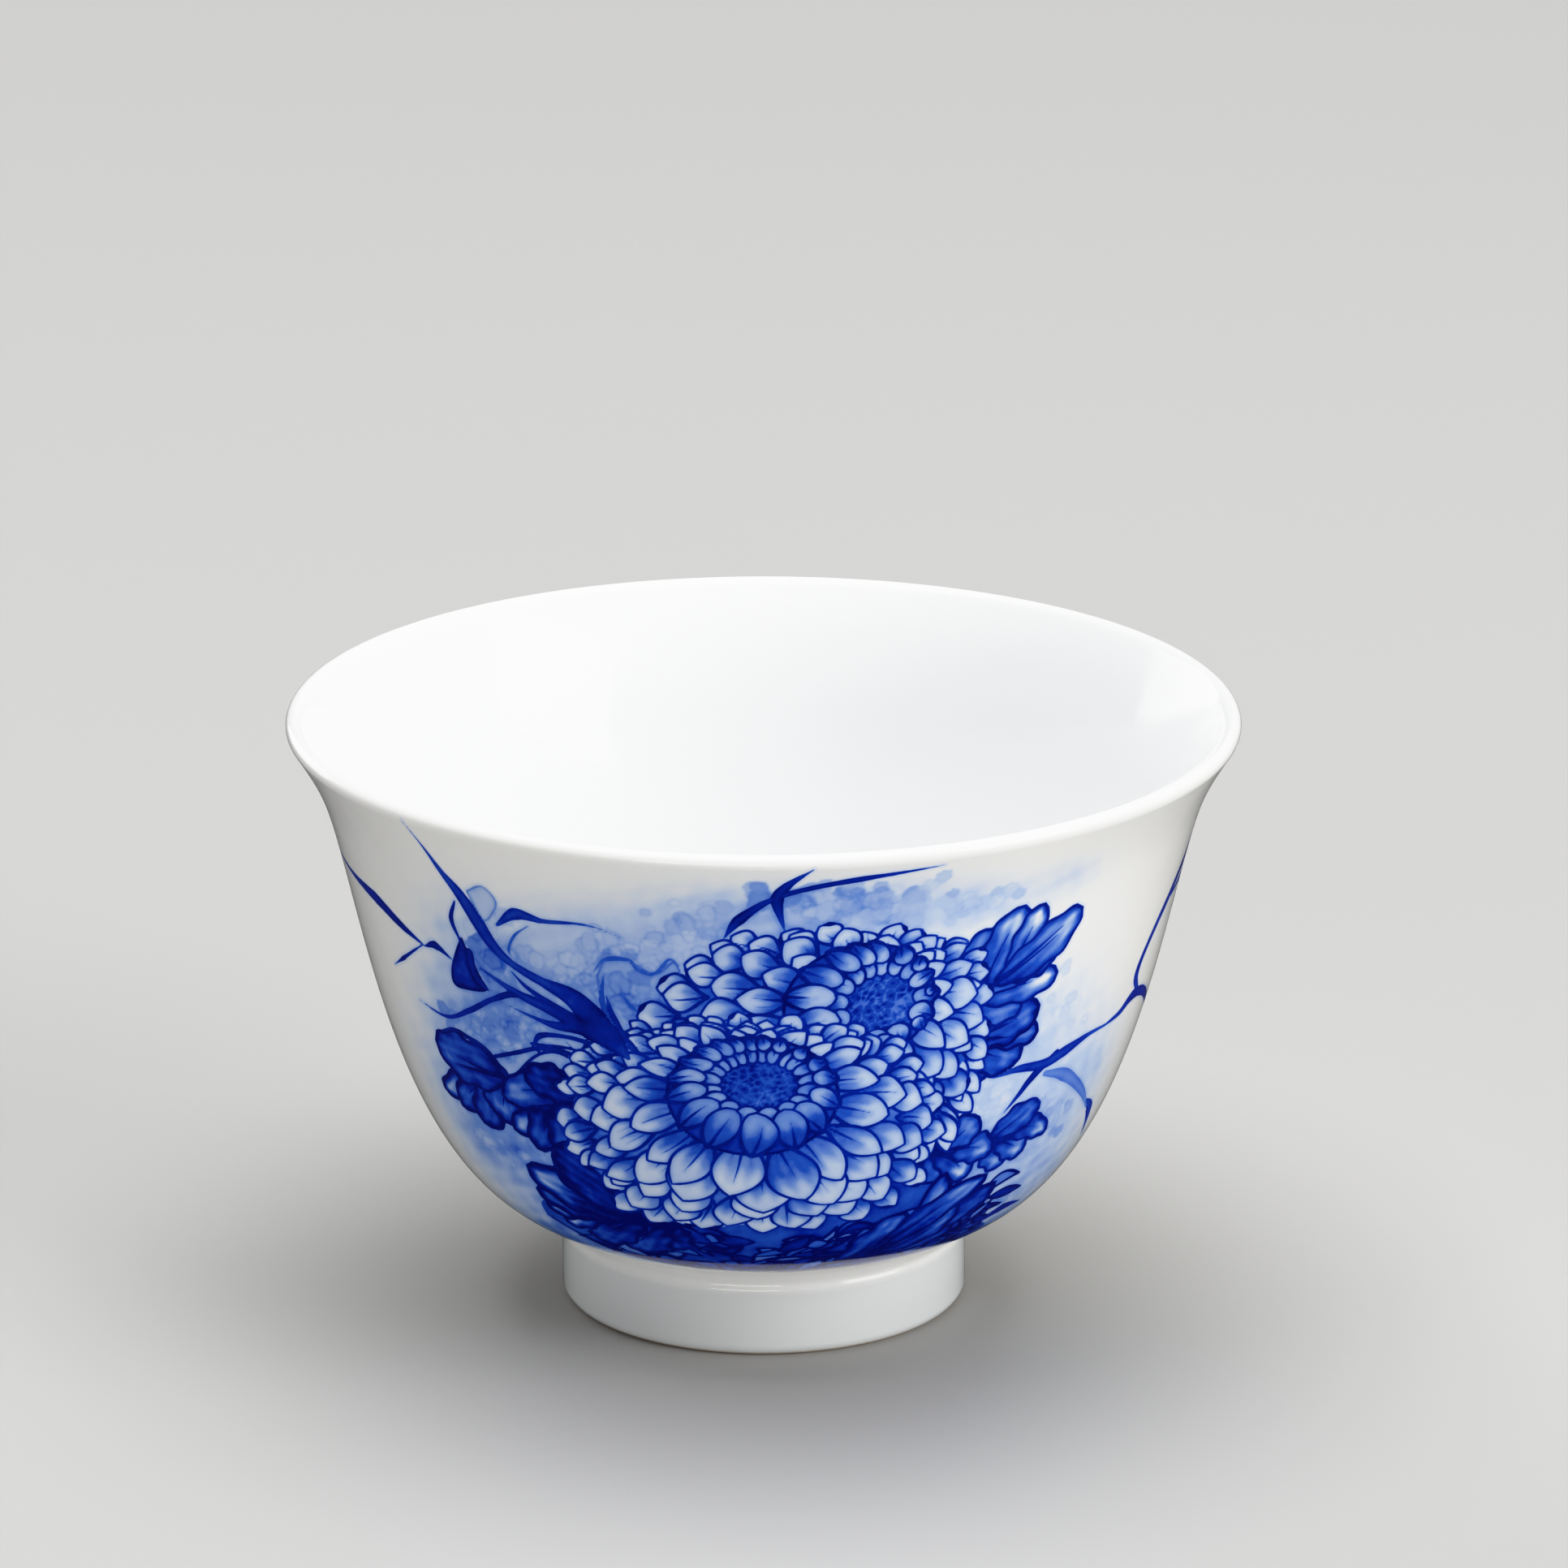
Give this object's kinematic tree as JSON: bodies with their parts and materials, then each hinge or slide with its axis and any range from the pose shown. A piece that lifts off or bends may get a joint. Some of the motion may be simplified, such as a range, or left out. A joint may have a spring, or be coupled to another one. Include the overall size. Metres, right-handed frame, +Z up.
{
  "type": "teacup",
  "caption": "Small porcelain tea cup without a handle: everted lip, deep rounded bowl, cobalt blue chrysanthemum painting under clear glaze, turned foot ring.",
  "frame": {"origin": "middle of the foot's contact ring, on the surface that the cup stands on", "axes": "+Z up along the cup's axis, -Y towards the middle of the painted front"},
  "size_m": [0.084, 0.084, 0.054],
  "materials": {
    "porcelain_body": "fine dense white clay, matt where it is bare",
    "clear_glaze": "smooth glossy clear glaze over white porcelain, faintly cool where it pools",
    "cobalt_blue": "cobalt brushwork and washes under the glaze, from pale blue to deep ink blue"
  },
  "bodies": {
    "root": {"bowl": "porcelain_body", "foot_ring": "porcelain_body", "cobalt_painting": "cobalt_blue", "outer_glaze": "clear_glaze", "inner_glaze": "clear_glaze", "foot_glaze": "clear_glaze", "base_glaze": "clear_glaze"}
  },
  "joints": []
}
